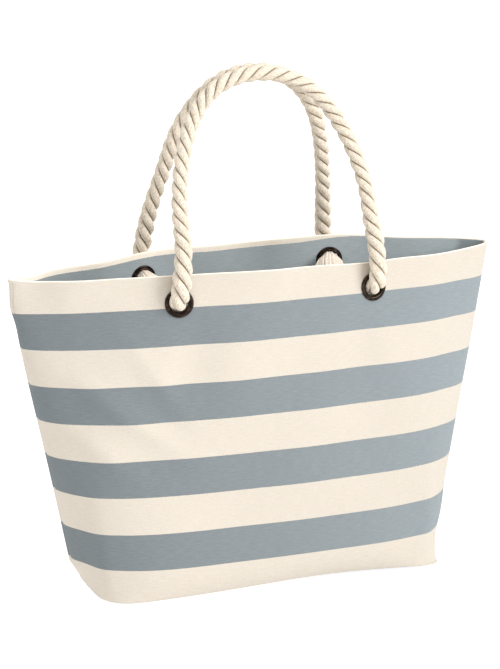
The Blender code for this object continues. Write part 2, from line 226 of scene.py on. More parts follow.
def rope_material(name, light, shade, groove):
    """Cotton strands: fine fibres along the rope, with shade painted dark into the grooves between strands."""
    mat, tree, shader = new_material(name, light, 0.9, 0.0, 0.2, 0.12)
    uv = add(tree, "ShaderNodeUVMap", uv_map="rope").outputs[0]
    parts = add(tree, "ShaderNodeSeparateXYZ", {0: uv})
    angle = calc(tree, "MULTIPLY", parts.outputs[0], 2 * math.pi)
    length = parts.outputs[1]
    cosine, sine = calc(tree, "COSINE", angle), calc(tree, "SINE", angle)

    def fibres(fine, stretch, detail):
        return noise(
            tree,
            combine(
                tree,
                calc(tree, "MULTIPLY", cosine, fine),
                calc(tree, "MULTIPLY", sine, fine),
                calc(tree, "MULTIPLY", length, stretch),
            ),
            1.0,
            detail,
            0.6,
        )

    yarn = fibres(7.0, 300.0, 2.0)
    hair = fibres(14.0, 520.0, 2.0)
    patch = fibres(1.6, 24.0, 2.0)
    groove_shade = add(tree, "ShaderNodeAttribute", attribute_name="groove").outputs["Fac"]
    both = calc(tree, "MULTIPLY_ADD", hair, 0.45, calc(tree, "MULTIPLY", yarn, 0.55))
    colour = mix(tree, ramp(tree, both, 0.36, 0.58), shade, light)
    fleck = ramp(tree, fibres(10.0, 440.0, 2.0), 0.57, 0.72, 0.0, 0.55)
    colour = mix(tree, fleck, colour, (0.42, 0.315, 0.235))
    colour = scaled(tree, colour, calc(tree, "MULTIPLY_ADD", calc(tree, "SUBTRACT", patch, 0.5), 0.16, 1.0))
    speck = fibres(24.0, 900.0, 1.0)
    colour = scaled(tree, colour, calc(tree, "MULTIPLY_ADD", calc(tree, "SUBTRACT", speck, 0.5), 0.60, 1.0))
    # painted shade: the grooves between strands are mixed towards the dark groove colour
    colour = mix(tree, ramp(tree, groove_shade, 0.10, 0.95, 0.0, 0.92), colour, groove)
    height = calc(tree, "MULTIPLY_ADD", hair, 0.5, yarn)
    finish_material(tree, shader, colour, height, 0.65, 0.0010)
    return mat


def metal_material():
    """Blackened brass, rubbed a little brown, with fine scratches."""
    mat, tree, shader = new_material("dark_metal", (0.03, 0.024, 0.022), 0.3, 0.9)
    place = add(tree, "ShaderNodeTexCoord").outputs["Object"]
    wear = noise(tree, place, 160.0, 4.0, 0.6)
    fine = noise(tree, place, 1400.0, 2.0, 0.5)
    colour = mix(tree, ramp(tree, wear, 0.42, 0.70), (0.0195, 0.0132, 0.0100), (0.084, 0.055, 0.038))
    rough = ramp(tree, wear, 0.3, 0.7, 0.24, 0.40)
    tree.links.new(rough, shader.inputs["Roughness"])
    finish_material(tree, shader, colour, fine, 0.10, 0.0002)
    return mat


def tape_material():
    """Cotton tape with a herringbone."""
    mat, tree, shader = new_material("cotton_tape", (0.8, 0.73, 0.62), 0.92, 0.0, 0.2, 0.10)
    uv = add(tree, "ShaderNodeUVMap", uv_map="cloth").outputs[0]
    parts = add(tree, "ShaderNodeSeparateXYZ", {0: uv})
    u, v = parts.outputs[0], parts.outputs[1]
    zig = calc(tree, "PINGPONG", u, 0.0022)
    lines = calc(tree, "SINE", calc(tree, "MULTIPLY", calc(tree, "ADD", v, zig), 2 * math.pi / 0.0011))
    slub = noise(tree, combine(tree, calc(tree, "MULTIPLY", u, 1500.0), calc(tree, "MULTIPLY", v, 80.0)), 1.0, 3.0)
    colour = mix(tree, slub, (0.60, 0.53, 0.43), (0.72, 0.66, 0.565))
    colour = scaled(tree, colour, calc(tree, "MULTIPLY_ADD", lines, 0.06, 0.97))
    finish_material(tree, shader, colour, calc(tree, "MULTIPLY_ADD", lines, 0.4, slub), 0.45, 0.0003)
    return mat


def thread_material(name, colour):
    mat, tree, shader = new_material(name, colour, 0.75, 0.0, 0.3, 0.1)
    place = add(tree, "ShaderNodeTexCoord").outputs["Object"]
    twist = noise(tree, place, 2600.0, 2.0)
    dark = tuple(0.72 * c for c in colour)
    finish_material(tree, shader, mix(tree, twist, dark, colour), twist, 0.4, 0.0001)
    return mat


canvas = canvas_material()
# the last colour is the painted shade in the grooves
rope_cotton = rope_material("cotton_rope", (0.762, 0.686, 0.574), (0.560, 0.466, 0.348), (0.195, 0.140, 0.086))
# painted light: a lighter copy of the rope cotton, with lighter grooves, for the knotted ends in the bag's shade
knot_rope_painted_lighter = rope_material("cotton_rope_painted_lighter", (0.815, 0.735, 0.632), (0.745, 0.648, 0.535), (0.560, 0.445, 0.338))
dark_metal = metal_material()
tape = tape_material()
blue_thread = thread_material("blue_grey_thread", (0.24, 0.265, 0.276))
tan_thread = thread_material("tan_thread", (0.48, 0.40, 0.305))
cream_thread = thread_material("cream_thread", (0.68, 0.62, 0.53))


# ------------------------------------------------------------------ mesh helpers
def make(name, points, faces, mat, uvs=None, uv_name="cloth", smooth_angle=None):
    """A mesh object from points and faces; uvs holds one pair per face corner."""
    mesh = bpy.data.meshes.new(name)
    mesh.from_pydata([tuple(p) for p in points], [], [tuple(int(k) for k in f) for f in faces])
    if uvs is not None:
        layer = mesh.uv_layers.new(name=uv_name)
        layer.data.foreach_set("uv", np.asarray(uvs, dtype=np.float32).ravel())
    bm = bmesh.new()
    bm.from_mesh(mesh)
    bmesh.ops.recalc_face_normals(bm, faces=bm.faces)
    bm.to_mesh(mesh)
    bm.free()
    mesh.shade_smooth()
    if smooth_angle:
        mesh.set_sharp_from_angle(angle=math.radians(smooth_angle))
    mesh.materials.append(mat)
    obj = bpy.data.objects.new(name, mesh)
    bpy.context.scene.collection.objects.link(obj)
    return obj


def unit(v):
    return v / np.maximum(np.linalg.norm(v, axis=-1, keepdims=True), 1e-12)


def spread(line, share):
    """Points at these shares of a polyline's length."""
    steps = np.linalg.norm(np.diff(line, axis=0), axis=1)
    run = np.concatenate([[0.0], np.cumsum(steps)])
    return np.stack([np.interp(share * run[-1], run, line[:, k]) for k in range(3)], 1)


def even(line, step):
    """The same polyline with points this far apart."""
    total = np.linalg.norm(np.diff(line, axis=0), axis=1).sum()
    return spread(line, np.linspace(0, 1, max(int(round(total / step)), 2) + 1))


# ------------------------------------------------------------------ canvas panels
def section(w):
    return (
        BASE_HALF_WIDTH + (RIM_HALF_WIDTH - BASE_HALF_WIDTH) * w,
        BASE_HALF_DEPTH + (RIM_HALF_DEPTH - BASE_HALF_DEPTH) * w**DEPTH_POWER,
        BASE_N + (RIM_N - BASE_N) * math.sqrt(w),
        BASE_M + (RIM_M - BASE_M) * math.sqrt(w),
    )


SWEEP = np.sin(np.pi * (np.linspace(0, 1, 1601) - 0.5))


def wall_line(w):
    half_w, half_d, n, m = section(w)
    y = half_d * np.maximum(1 - np.abs(SWEEP) ** n, 0.0) ** (1 / m)
    return np.stack([half_w * SWEEP, -y, SEAM_HEIGHT * w * (1 + RIM_RISE * (1 - SWEEP**2))], 1)


def ground_line():
    right = SWEEP > 0
    power, root = np.where(right, 1.7 * GROUND_N, 0.7 * GROUND_N), np.where(right, 1.4 * GROUND_M, 0.75 * GROUND_M)
    y = GROUND_HALF_DEPTH * np.maximum(1 - np.abs(SWEEP) ** power, 0.0) ** (1 / root)
    y = y - GROUND_WAIST * np.maximum(1 - (SWEEP / 0.86) ** 2, 0.0)
    y = y - 0.0065 * np.exp(-(((SWEEP - 0.25) / 0.42) ** 2))
    return np.stack([GROUND_HALF_WIDTH * SWEEP, -y, 0 * SWEEP], 1)


def wall_point(t, w):
    half_w, half_d, n, m = section(w)
    y = half_d * max(1 - abs(t) ** n, 0.0) ** (1 / m)
    return Vector((half_w * t, -y, SEAM_HEIGHT * w * (1 + RIM_RISE * (1 - t * t))))


def eyelet_frame(x_sign, side):
    """Middle of an eyelet on the outer face; local +Z outwards and +Y up the wall."""
    z = EYELET_Z + (BACK_RIGHT_RAISE if (x_sign, side) == (1, -1) else 0.0)
    w = z / SEAM_HEIGHT
    for _ in range(30):
        t = EYELET_X / section(w)[0]
        w = z / (SEAM_HEIGHT * (1 + RIM_RISE * (1 - t * t)))
    t *= x_sign
    h = 1e-4
    across = wall_point(t + h, w) - wall_point(t - h, w)
    up = wall_point(t, w + h) - wall_point(t, w - h)
    out = across.cross(up).normalized()
    place = wall_point(t, w)
    out.y *= side
    place.y *= side
    right = Vector((0, 0, 1)).cross(out).normalized()
    up = out.cross(right)
    matrix = Matrix((right, up, out)).transposed().to_4x4()
    matrix.translation = place
    return matrix


EYELETS = {
    (depth, side): eyelet_frame(-1 if side == "left" else 1, 1 if depth == "front" else -1)
    for depth in ("front", "back")
    for side in ("left", "right")
}


def drag_lines(x, z):
    """Slanting pulls in the cloth below the front left eyelet, and the hollow under it."""
    out = 0.0 * x
    for px, pz, slope, high, wide, far in (
        (-0.132, 0.240, 55, 0.0030, 0.013, 0.052),
        (-0.173, 0.2095, 37, 0.0044, 0.013, 0.080),
        (-0.206, 0.176, 40, 0.0042, 0.013, 0.055),
    ):
        c, s = math.cos(math.radians(slope)), math.sin(math.radians(slope))
        off, along = s * (x - px) + c * (z - pz), c * (x - px) - s * (z - pz)
        out = out + high * np.exp(-((off / wide) ** 2)) * np.exp(-((along / far) ** 2))
    out -= 0.0016 * np.exp(-(((z - 0.292) / 0.013) ** 2)) * np.exp(-(((x + 0.112) / 0.045) ** 2))
    return out + 0.0036 * np.exp(-(((z - 0.228) / 0.036) ** 2)) * np.exp(-(((x + 0.085) / 0.060) ** 2))


def soft_folds(points, side):
    """How far the cloth stands off its plain surface: broad dents and drag lines."""
    x, z = points[..., 0], points[..., 2]
    k = 1.0 if side == "front" else -1.0
    rise = z / SEAM_HEIGHT
    out = 0.0016 * np.sin(k * x * 31.0 + 2.2 * rise + 0.6) * np.sin(np.pi * np.clip(rise, 0, 1))
    out += 0.0011 * np.sin(k * x * 57.0 - 5.0 * rise + 1.9) * np.clip(rise * 1.4, 0, 1)
    for sign in (-1, 1):
        down = EYELET_Z - z
        line = x - sign * (EYELET_X + 0.22 * down)
        out += 0.0024 * np.exp(-((line / 0.020) ** 2)) * np.exp(-(((down - 0.055) / 0.040) ** 2))
        line = x - sign * (EYELET_X - 0.30 * down)
        out -= 0.0016 * np.exp(-((line / 0.026) ** 2)) * np.exp(-(((down - 0.070) / 0.045) ** 2))
    if side == "front":
        out += drag_lines(x, z)
    near = np.ones_like(x)
    for sign in (-1, 1):
        r2 = (x - sign * EYELET_X) ** 2 + (z - EYELET_Z) ** 2
        near *= 1 - np.exp(-r2 / 0.022**2)
    ends = np.clip((RIM_HALF_WIDTH - np.abs(x) - 0.06 * (1 - rise)) / 0.06, 0, 1)
    return out * near * ends * np.clip((z - 0.012) / 0.03, 0, 1)


def smooth(x):
    x = np.clip(x, 0, 1)
    return x * x * (3 - 2 * x)


def left_bulge(depth):
    """How far the left seam stands out beyond the plain shape, by depth below the rim."""
    long = np.where(depth < 0.075, 0.055, 0.115)
    out = 0.0032 * np.exp(-(((depth - 0.027) / 0.016) ** 2)) + 0.0035 * np.exp(-(((depth - 0.075) / long) ** 2))
    return out + 0.0010 * np.exp(-depth / 0.012)


def hang(grid, depth, side):
    """Moves the plain shape to how the cloth really hangs: rim, ends and base edge."""
    x, y, z = grid[..., 0].copy(), grid[..., 1].copy(), grid[..., 2].copy()
    reach = np.abs(x).max(axis=1, keepdims=True)
    tip = np.clip((np.abs(x) - 0.17) / (RIM_HALF_WIDTH - 0.17), 0, 1)
    rim = np.clip((z - 0.20) / 0.145, 0, 1) ** 2
    lift = np.where(x < 0, -0.003, 0.001) * tip * rim
    if side == "front":
        lift = lift - 0.0010 * np.exp(-depth / 0.015) * smooth((0.16 - x) / 0.06) * smooth((x + 0.24) / 0.05)
        lift = lift - 0.0032 * np.exp(-depth / 0.045) * np.exp(-(((x - 0.190) / 0.065) ** 2))
        lift = lift - 0.0021 * np.exp(-depth / 0.022) * np.exp(-(((x - 0.100) / 0.042) ** 2))
    else:
        lift = lift + (0.0035 * np.exp(-(((x - 0.115) / 0.050) ** 2)) - 0.0042 * np.exp(-(((x + 0.170) / 0.043) ** 2))) * rim
        lift = lift - 0.0026 * np.exp(-(((x + 0.010) / 0.055) ** 2)) * rim
    lift = lift + 0.0034 * np.exp(-(((x + RIM_HALF_WIDTH) / 0.015) ** 2)) * np.exp(-((depth / 0.018) ** 2))
    end = smooth((x / reach - 0.80) / 0.20)
    lift = lift - 0.0018 * end * (1 - np.exp(-depth / 0.015)) * np.clip(z / 0.05, 0, 1)
    edge = 0.0028 * np.exp(-(((x - 0.090) / 0.105) ** 2)) + 0.0008
    lift = lift + edge * np.clip(1 - z / 0.055, 0, 1) * np.clip(-y / 0.05, 0, 1) * (1.0 if side == "front" else 0.4)
    out = grid.copy()
    out[..., 2] = np.maximum(z + lift, 0.0)
    out[..., 0] = x - left_bulge(depth) * smooth((-x / reach - 0.86) / 0.12)
    bulge = 0.0022 * np.exp(-(((z - 0.048) / 0.026) ** 2)) + 0.0010 * np.exp(-(((depth - 0.10) / 0.06) ** 2))
    out[..., 0] += bulge * smooth((x / reach - 0.86) / 0.12)
    out[..., 1] = y * (1 - 0.42 * np.exp(-(((x + 0.262) / 0.030) ** 2)) * rim)
    return out


def corner_folds(along, z):
    """The boxed corners: a soft ridge up each one and a hollow in the end beside it."""
    other = along[:, -1:] - along
    low = np.clip((0.20 - z) / 0.16, 0, 1) ** 1.5
    out = 0.0020 * np.exp(-(((along - 0.062) / 0.013) ** 2)) - 0.0025 * np.exp(-(((along - 0.032) / 0.017) ** 2))
    out += 0.0036 * np.exp(-(((other - 0.080) / 0.015) ** 2)) - 0.0026 * np.exp(-(((other - 0.036) / 0.020) ** 2))
    return out * low * np.clip(z / 0.03, 0, 1)


def panel_grid(side):
    """Outer face of the front panel as rows from rim to base seam, before mirroring."""
    share = np.linspace(0, 1, COLUMNS + 1)
    share = 0.5 * share + 0.25 * (1 - np.cos(np.pi * share))
    foot_w = FOOT_HEIGHT / SEAM_HEIGHT
    depths = np.concatenate(
        [np.linspace(0, HEM_DEPTH, 18), np.linspace(HEM_DEPTH + 0.0006, HEIGHT * (1 - foot_w), 96)]
    )
    rows = [spread(wall_line(1 - d / HEIGHT), share) for d in depths]
    foot, ground = rows[-1], spread(ground_line(), share)
    flat = smooth((np.abs(share - 0.5) - 0.38) / 0.05)
    for angle in np.linspace(0, math.pi / 2, 17)[1:]:
        left = 1 - angle / (math.pi / 2)
        row = ground + (foot - ground) * (math.cos(angle) * (1 - flat) + left * flat)[:, None]
        row[:, 2] = foot[:, 2] * ((1 - math.sin(angle)) * (1 - flat) + left * flat)
        rows.append(row)
    for k in range(1, 9):
        row = ground.copy()
        row[:, 1] *= 1 - k / 8
        rows.append(row)
    grid = np.array(rows)
    walls = len(depths) + 16
    middle = COLUMNS // 2
    runs = np.linalg.norm(np.diff(grid[:, middle], axis=0), axis=1)
    length = np.concatenate([[0.0], np.cumsum(runs)])
    length[: len(depths)] = depths
    length[len(depths) :] += depths[-1] - length[len(depths) - 1]
    fold = length[len(depths) : walls] - depths[-1]
    under = TOP_BAND + 8 * STRIPE - 0.0012
    length[walls:] += under - length[walls - 1]
    length[len(depths) : walls] = depths[-1] + fold * (under - depths[-1]) / fold[-1]

    seg = np.linalg.norm(np.diff(grid, axis=1), axis=2)
    along = np.concatenate([np.zeros((len(grid), 1)), np.cumsum(seg, axis=1)], axis=1)
    from_seam = np.minimum(along, along[:, -1:] - along)
    groove = 0.0017 * np.exp(-((from_seam / 0.0026) ** 2))
    groove[walls:] = 0
    grid[..., 0] -= np.sign(grid[..., 0]) * groove

    normal = normals(grid)
    move = soft_folds(grid, side) + corner_folds(along, grid[..., 2])
    move[walls:] = 0
    grid = grid + normal * move[..., None]
    grid = hang(grid, length[:, None], side)
    grid[..., 1] = np.minimum(grid[..., 1], -0.00015)
    return grid, normals(grid), length, share, len(depths)


def normals(grid):
    across = np.gradient(grid, axis=1)
    across[:, 0] = (0, -1, 0)
    across[:, -1] = (0, 1, 0)
    down = np.gradient(grid, axis=0)
    return unit(np.cross(down, across))


def panel(side):
    grid, normal, length, share, walls = panel_grid(side)
    count, wide = grid.shape[:2]
    hem = length <= HEM_DEPTH + 1e-6
    thick = np.where(hem, HEM, CANVAS)
    normal[count - 8 :] = (0, 0, -1)
    inner = grid - normal * thick[:, None, None]
    near = np.clip(1 - grid[..., 2] / 0.014, 0, 1)
    inner[..., 0] -= np.sign(grid[..., 0]) * 0.0040 * near * smooth((np.abs(grid[..., 0]) - 0.14) / 0.04)
    inner[..., 1] *= 1 - 0.055 * near
    inner[..., 1] = np.minimum(inner[..., 1], -0.00015)
    inner[..., 2] = np.maximum(inner[..., 2], CANVAS)
    rim = []
    up = unit(grid[0] - grid[1])
    for k in range(1, 7):
        a = math.pi * k / 7
        half = (grid[0] + inner[0]) / 2
        rim.append(half + (grid[0] - inner[0]) / 2 * math.cos(a) + up * (HEM / 2) * math.sin(a))
    rows = [grid[j] for j in range(count - 1, -1, -1)] + rim + [inner[j] for j in range(count)]
    points = np.concatenate(rows)
    turned = np.where(hem, -0.002 - length * (HEM_DEPTH - 0.002) / HEM_DEPTH, length)
    v_rows = list(length[::-1]) + [-0.002 * k / 7 for k in range(1, 7)] + list(turned + INSIDE)
    total = len(rows)
    u = (share - 0.5) * 0.5700
    askew = np.clip((u - 0.06) / 0.11, 0, 1)
    askew = -0.0052 * askew * askew * (3 - 2 * askew)
    faces, uvs = [], []
    for r in range(total):
        s = (r + 1) % total
        va, vb = v_rows[r], v_rows[s]
        if s == 0 or r == count + 5 or (r > count + 5 and va < INSIDE < vb):
            vb = va
        hang = askew if r > count + 5 and va < INSIDE else 0 * askew
        for i in range(wide - 1):
            a, b = r * wide + i, s * wide + i
            faces.append((a, a + 1, b + 1, b))
            uvs += [(u[i], va + hang[i]), (u[i + 1], va + hang[i + 1]), (u[i + 1], vb + hang[i + 1]), (u[i], vb + hang[i])]
    for i in (0, wide - 1):
        for j in range(count - 1):
            o0, o1 = (count - 1 - j) * wide + i, (count - 2 - j) * wide + i
            n0, n1 = (count + 6 + j) * wide + i, (count + 7 + j) * wide + i
            faces.append((o0, o1, n1, n0))
            uvs += [(u[i], length[j]), (u[i], length[j + 1])] * 2
        cap = [(count - 1 + k) * wide + i for k in range(8)]
        faces.append(cap)
        uvs += [(u[i], 0.0)] * 8
    if side == "back":
        points = points * np.array((1, -1, 1))
    obj = make(f"{side}_canvas", points, faces, canvas, uvs)
    drills = []
    for end in ("left", "right"):
        mesh = bpy.data.meshes.new("drill")
        bm = bmesh.new()
        bmesh.ops.create_cone(
            bm, cap_ends=True, segments=48, radius1=CANVAS_HOLE_R, radius2=CANVAS_HOLE_R, depth=0.024
        )
        bm.to_mesh(mesh)
        bm.free()
        drill = bpy.data.objects.new("drill", mesh)
        bpy.context.scene.collection.objects.link(drill)
        drill.matrix_world = EYELETS[side, end]
        cut = obj.modifiers.new("hole", "BOOLEAN")
        cut.operation = "DIFFERENCE"
        cut.solver = "EXACT"
        cut.object = drill
        drills.append(drill)
    bpy.context.view_layer.update()
    graph = bpy.context.evaluated_depsgraph_get()
    cut_mesh = bpy.data.meshes.new_from_object(obj.evaluated_get(graph))
    obj.modifiers.clear()
    obj.data = cut_mesh
    cut_mesh.shade_smooth()
    cut_mesh.set_sharp_from_angle(angle=math.radians(50))
    for drill in drills:
        bpy.data.objects.remove(drill)
    return obj, grid, normal, length, share, thick


def stitches(name, places, directions, mat, long=0.0024, thin=0.00034):
    """A row of thread stitches: each a short bowed capsule pressed into the cloth."""
    sides, rings = 6, 5
    points, faces = [], []
    for place, direction in zip(places, directions):
        d = unit(direction)
        a = unit(np.cross(d, (0.31, 0.52, 0.8)))
        b = np.cross(d, a)
        base = len(points)
        for k in range(rings):
            x = -1 + 2 * k / (rings - 1)
            r = thin * math.sqrt(max(1 - x * x * 0.93, 0))
            for j in range(sides):
                q = 2 * math.pi * j / sides
                points.append(place + d * (x * long / 2) + (a * math.cos(q) + b * math.sin(q)) * r)
        for k in range(rings - 1):
            for j in range(sides):
                p, q = base + k * sides + j, base + k * sides + (j + 1) % sides
                faces.append((p, q, q + sides, p + sides))
        faces.append(tuple(base + j for j in reversed(range(sides))))
        faces.append(tuple(base + (rings - 1) * sides + j for j in range(sides)))
    return make(name, points, faces, mat)


def hem_row(side, grid, normal, length, share, thick):
    """Stitching along the lower edge of the turned hem, outside and inside."""
    depth = HEM_DEPTH - 0.0014
    j = int(np.searchsorted(length, depth)) - 1
    f = (depth - length[j]) / (length[j + 1] - length[j])
    line = grid[j] * (1 - f) + grid[j + 1] * f
    out = unit(normal[j] * (1 - f) + normal[j + 1] * f)
    steps = np.linalg.norm(np.diff(line, axis=0), axis=1)
    run = np.concatenate([[0.0], np.cumsum(steps)])
    at = np.arange(0.004, run[-1] - 0.004, 0.0034)
    place = np.stack([np.interp(at, run, line[:, k]) for k in range(3)], 1)
    facing = unit(np.stack([np.interp(at, run, out[:, k]) for k in range(3)], 1))
    heading = np.gradient(place, axis=0)
    outside = place - facing * 0.00008
    inside = place - facing * (HEM + 0.00010) + heading * 0.5
    keep = np.abs(np.concatenate([outside[:, 1], inside[:, 1]])) > 0.003
    places = np.concatenate([outside, inside])[keep]
    headings = np.concatenate([heading, heading])[keep]
    if side == "back":
        places = places * np.array((1, -1, 1))
        headings = headings * np.array((1, -1, 1))
    return stitches(f"{side}_hem_stitching", places, headings, blue_thread, thin=0.00024)


def tack_row(side, grid, normal, length):
    """Short upright row of stitches that holds the end of the hem beside the left seam."""
    places, headings = [], []
    for depth in np.arange(0.0035, TOP_BAND + 0.001, 0.0029):
        j = int(np.searchsorted(length, depth)) - 1
        f = (depth - length[j]) / (length[j + 1] - length[j])
        line = grid[j] * (1 - f) + grid[j + 1] * f
        out = unit(normal[j] * (1 - f) + normal[j + 1] * f)
        run = np.concatenate([[0.0], np.cumsum(np.linalg.norm(np.diff(line, axis=0), axis=1))])
        place = np.array([np.interp(0.0062, run, line[:, k]) for k in range(3)])
        facing = unit(np.array([np.interp(0.0062, run, out[:, k]) for k in range(3)]))
        places.append(place + facing * 0.00004)
        headings.append(np.array([np.interp(0.0062, run, (grid[j + 1] - grid[j])[:, k]) for k in range(3)]))
    places, headings = np.array(places), np.array(headings)
    if side == "back":
        places, headings = places * np.array((1, -1, 1)), headings * np.array((1, -1, 1))
    return stitches(f"{side}_hem_tack", places, headings, tan_thread, long=0.0026, thin=0.00030)


for side in ("front", "back"):
    cloth, grid, normal, length, share, thick = panel(side)
    sewn = hem_row(side, grid, normal, length, share, thick)
    tack = tack_row(side, grid, normal, length)
    for obj in (cloth, sewn, tack):
        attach(obj, "bag")
    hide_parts(f"{side}_panel")


# ------------------------------------------------------------------ eyelets
def turned(name, profile, matrix, steps=72):
    """A closed (radius, height) profile turned about an eyelet's own axis."""
    points, faces = [], []
    count = len(profile)
    for k in range(steps):
        a = 2 * math.pi * k / steps
        points += [matrix @ Vector((r * math.cos(a), r * math.sin(a), h)) for r, h in profile]
    for k in range(steps):
        for i in range(count):
            a, b = k * count + i, k * count + (i + 1) % count
            c, d = (a + count) % len(points), (b + count) % len(points)
            faces.append((a, b, d, c))
    return make(name, points, faces, dark_metal, smooth_angle=55)


def eyelet_profile():
    low = -(HEM + 0.0034)
    line = [(HOLE_R, -0.0005)]
    middle, half = (HOLE_R + FLANGE_R) / 2, (FLANGE_R - HOLE_R) / 2
    for k in range(13):
        a = math.pi * (1 - k / 12)
        line.append((middle + half * math.cos(a), 0.0007 + (FLANGE_H - 0.0007) * max(math.sin(a), 0) ** 0.75))
    line += [(FLANGE_R - 0.0003, -0.0002), (BARREL_R, -0.0002), (BARREL_R, low + 0.0016)]
    for k in range(1, 8):
        a = math.radians(-30 + 210 * k / 7)
        line.append((BARREL_R + 0.0006 + 0.0012 * math.cos(a), low + 0.0012 - 0.0012 * math.sin(a)))
    line.append((HOLE_R, low + 0.0014))
    return line


def washer_profile():
    top = -HEM
    outer, inner = FLANGE_R - 0.0004, BARREL_R + 0.0002
    line = [(inner, top), (outer, top)]
    for k in range(1, 6):
        a = math.radians(90 * k / 5)
        line.append((outer - 0.0010 * (1 - math.cos(a)), top - 0.0008 - 0.0009 * math.sin(a)))
    line.append((inner, top - 0.0017))
    return line


for (depth, end), matrix in EYELETS.items():
    for what, profile in (("eyelet", eyelet_profile()), ("eyelet_washer", washer_profile())):
        obj = turned(f"{depth}_{end}_{what}_turned", profile, matrix)
        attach(obj, "bag")
        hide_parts(f"{depth}_{end}_{what}")


# ------------------------------------------------------------------ rope
def strand_section(lobe=18):
    """Three full strands pressed together: angle, radius and the painted groove shade round the rope."""
    u = np.linspace(-1, 1, lobe + 1)[:-1]
    u = 1.35 * u - 0.35 * u**3
    size = np.abs(u)
    radius = 1 - 0.31 * size**2 - 0.13 * size**8
    angle = np.concatenate([np.radians(60) * u + k * 2 * math.pi / 3 for k in range(3)])
    return angle, np.concatenate([radius] * 3), np.concatenate([size**6] * 3)


def tuft_section(yarns=23, lobe=5):
    """Loose yarns side by side, each a little different."""
    angle, radius, groove_shade = [], [], []
    for k in range(yarns):
        full = 1 + 0.035 * math.sin(2.4 * k) + 0.025 * math.sin(5.1 * k + 1)
        for i in range(lobe):
            u = -1 + 2 * i / lobe
            angle.append((k + 0.5 + 0.5 * u) * 2 * math.pi / yarns)
            radius.append(full * (1 - 0.10 * abs(u) ** 2.5))
            # painted shade in the gaps between the loose yarns
            groove_shade.append(0.75 * abs(u) ** 3)
    return np.array(angle), np.array(radius), np.array(groove_shade)


STRANDS, TUFT = strand_section(), tuft_section()


def rope_mesh(line, radius, lay=LAY, phase=0.0, flat=None, flat_axis=None, ring=STRANDS):
    """Strands laid to the left round a line: points, faces, corner uvs, painted groove shade.
    radius is one per point; flat widens the section along flat_axis."""
    RING_ANGLE, RING_RADIUS, RING_GROOVE_SHADE = ring
    count, ring = len(line), len(RING_ANGLE)
    tangent = unit(np.gradient(line, axis=0))
    run = np.concatenate([[0.0], np.cumsum(np.linalg.norm(np.diff(line, axis=0), axis=1))])
    n = unit(np.cross(tangent[0], (0.0, 0.0, 1.0) if abs(tangent[0][2]) < 0.8 else (0.0, 1.0, 0.0)))
    points, groove_shade = [], []
    for k in range(count):
        n = unit(n - tangent[k] * np.dot(n, tangent[k]))
        b = np.cross(tangent[k], n)
        wander = 0.10 * math.sin(run[k] * 41.0 + phase) + 0.06 * math.sin(run[k] * 97.0 + 2 * phase)
        spin = RING_ANGLE - 2 * math.pi * run[k] / lay + phase + wander
        swell = 1 + 0.018 * np.sin(run[k] * 63.0 + RING_ANGLE * 3 + phase) + 0.012 * np.sin(run[k] * 171.0 + RING_ANGLE)
        r = radius[k] * RING_RADIUS * swell
        offset = np.outer(np.cos(spin) * r, n) + np.outer(np.sin(spin) * r, b)
        if flat is not None:
            axis = unit(np.asarray(flat_axis, dtype=float))
            offset = offset + np.outer(offset @ axis, axis) * (flat[k] - 1)
        points.append(line[k] + offset)
        groove_shade.append(RING_GROOVE_SHADE)
    points = np.concatenate(points + [line[:1], line[-1:]])
    groove_shade = np.concatenate(groove_shade + [[0.6, 0.6]])
    base = RING_ANGLE / (2 * math.pi)
    faces, uvs = [], []
    for k in range(count - 1):
        ta, tb = base - run[k] / lay, base - run[k + 1] / lay
        for i in range(ring):
            j = (i + 1) % ring
            a, c = k * ring + i, k * ring + j
            faces.append((a, c, c + ring, a + ring))
            wrap = 1.0 if j == 0 else 0.0
            uvs += [(ta[i], run[k]), (ta[j] + wrap, run[k]), (tb[j] + wrap, run[k + 1]), (tb[i], run[k + 1])]
    first, last, top = count * ring, count * ring + 1, (count - 1) * ring
    for i in range(ring):
        j = (i + 1) % ring
        faces.append((first, j, i))
        uvs += [(base[i], -0.004), (base[j], 0.0), (base[i], 0.0)]
        faces.append((last, top + i, top + j))
        uvs += [(base[i], run[-1] + 0.004), (base[i], run[-1]), (base[j], run[-1])]
    return points, faces, uvs, groove_shade


def rope_object(name, pieces, mat=rope_cotton):
    points, faces, uvs, groove_shade, base = [], [], [], [], 0
    for p, f, t, d in pieces:
        points.append(p)
        faces += [tuple(k + base for k in face) for face in f]
        uvs += t
        groove_shade.append(d)
        base += len(p)
    obj = make(name, np.concatenate(points), faces, mat, uvs, "rope")
    # the groove attribute carries how much painted shade each point gets
    layer = obj.data.attributes.new("groove", "FLOAT", "POINT")
    layer.data.foreach_set("value", np.concatenate(groove_shade).astype(np.float32))
    return obj


def bezier(a, b, c, d, count):
    t = np.linspace(0, 1, count)[:, None]
    return (1 - t) ** 3 * a + 3 * t * (1 - t) ** 2 * b + 3 * t * t * (1 - t) * c + t**3 * d


def handle_half(leg, side, count=160):
    """Middle line of half a handle from the hinge axis to the crest, on the +X side."""
    (pull_x, pull_z), arch_x, lean_end = leg
    t = np.linspace(0, 1, count + 1)
    a, b, c, d = (1 - t) ** 3, 3 * t * (1 - t) ** 2, 3 * t * t * (1 - t), t**3
    x = a * HINGE_X + b * pull_x + c * arch_x
    z = a * HINGE_Z + b * pull_z + (c + d) * HANDLE_TOP_Z
    lean = (1 + np.cos(np.pi * np.minimum(t / lean_end, 1))) / 2
    return np.stack([x, side * (HANDLE_TOP_Y + (HINGE_Y - HANDLE_TOP_Y) * lean), z], 1)


def local(matrix, *p):
    return np.array(matrix @ Vector(p))


LEG_START = 0.036


